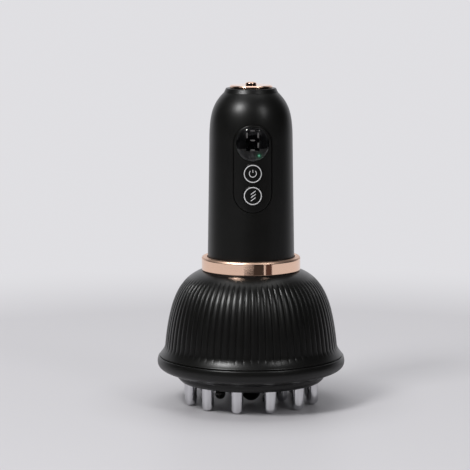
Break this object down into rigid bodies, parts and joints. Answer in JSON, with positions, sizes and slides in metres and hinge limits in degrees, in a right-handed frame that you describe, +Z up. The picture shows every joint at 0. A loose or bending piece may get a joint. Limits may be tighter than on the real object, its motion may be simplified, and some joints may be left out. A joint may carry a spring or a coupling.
{
  "type": "anti-cellulite massager",
  "caption": "Hand-held body massager with a bullet-shaped handle, display and two keys, a ribbed dome head and blunt massage pins underneath.",
  "frame": {"origin": "centre of the plane of the pin tips, which the massager stands on", "axes": "+Z up along the handle, the display and keys face -Y, +X to the right seen from the front"},
  "size_m": [0.1, 0.1, 0.1718],
  "materials": {
    "soft_black": "soft-touch matt black",
    "satin_black": "satin black moulding",
    "gloss_black": "gloss black",
    "rose_gold": "polished rose gold plating",
    "pin_metal": "polished metal",
    "dark_stone": "polished dark stone",
    "smoked_lens": "smoked clear window",
    "board_green": "coated circuit board",
    "cell_wrap": "plastic sleeve",
    "steel": "zinc plated steel",
    "brass": "turned brass",
    "rubber": "soft rubber",
    "silicone": "clear silicone",
    "frame_plastic": "plain grey moulding",
    "tank_plastic": "natural clear moulding",
    "led_green": "green lamp",
    "wire_red": "wire insulation"
  },
  "bodies": {
    "root": {"handle_shell": "soft_black", "control_panel": "soft_black", "display_lens": "smoked_lens", "display_frame": "gloss_black", "display_module": "gloss_black", "status_led": "led_green", "tact_switches": "satin_black", "key_pad": "silicone", "control_pcb": "board_green", "pcb_screws": "steel", "collar_ring": "rose_gold", "collar_seal": "rubber", "dome_shell": "satin_black", "base_rim": "satin_black", "pin_plate": "satin_black", "outer_pins": "pin_metal", "inner_pins": "pin_metal", "stone_beads": "dark_stone", "nozzle": "gloss_black", "check_valve": "silicone", "contact_board": "board_green", "board_screws": "steel", "plate_screws": "steel", "head_carrier": "frame_plastic", "carrier_screws": "steel", "motor_bracket": "frame_plastic", "bracket_screws": "steel", "vibration_motor": "steel", "motor_end_cap": "satin_black", "chassis": "frame_plastic", "neck_screws": "steel", "sleeve_screws": "steel", "battery_cell": "cell_wrap", "battery_tabs": "steel", "charge_board": "board_green", "charge_board_screws": "steel", "usb_port": "steel", "oil_tank": "tank_plastic", "tank_floor": "tank_plastic", "neck_seal": "rubber", "oil_tube": "silicone", "wire_loom": "wire_red"},
    "power_key": {"power_button": "soft_black"},
    "mode_key": {"mode_button": "soft_black"},
    "pump": {"pump_barrel": "tank_plastic", "pump_spring": "steel"},
    "knob": {"pump_knob": "rose_gold"},
    "cap": {"filler_cap": "rose_gold"},
    "rotor": {"motor_shaft": "steel", "eccentric_weight": "brass"}
  },
  "joints": [
    {"name": "power_press", "type": "slide", "parent": "root", "child": "power_key", "axis": [0, 1, 0], "range_m": [0, 0.0005], "stiffness_N_per_m": 800, "springref_m": -0.0005},
    {"name": "mode_press", "type": "slide", "parent": "root", "child": "mode_key", "axis": [0, 1, 0], "range_m": [0, 0.0005], "stiffness_N_per_m": 800, "springref_m": -0.0005},
    {"name": "cap_lift", "type": "slide", "parent": "root", "child": "pump", "axis": [0, 0, 1], "range_m": [0, 0.02]},
    {"name": "cap_turn", "type": "hinge", "parent": "pump", "child": "cap", "pos_m": [0, 0, 0.169], "axis": [0, 0, 1], "continuous": true},
    {"name": "pump_press", "type": "slide", "parent": "pump", "child": "knob", "axis": [0, 0, -1], "range_m": [0, 0.0015], "stiffness_N_per_m": 400, "springref_m": -0.002, "deforming": ["pump_spring"]},
    {"name": "motor_spin", "type": "hinge", "parent": "root", "child": "rotor", "pos_m": [0, 0.02, 0.05], "axis": [0, 0, 1], "continuous": true}
  ]
}
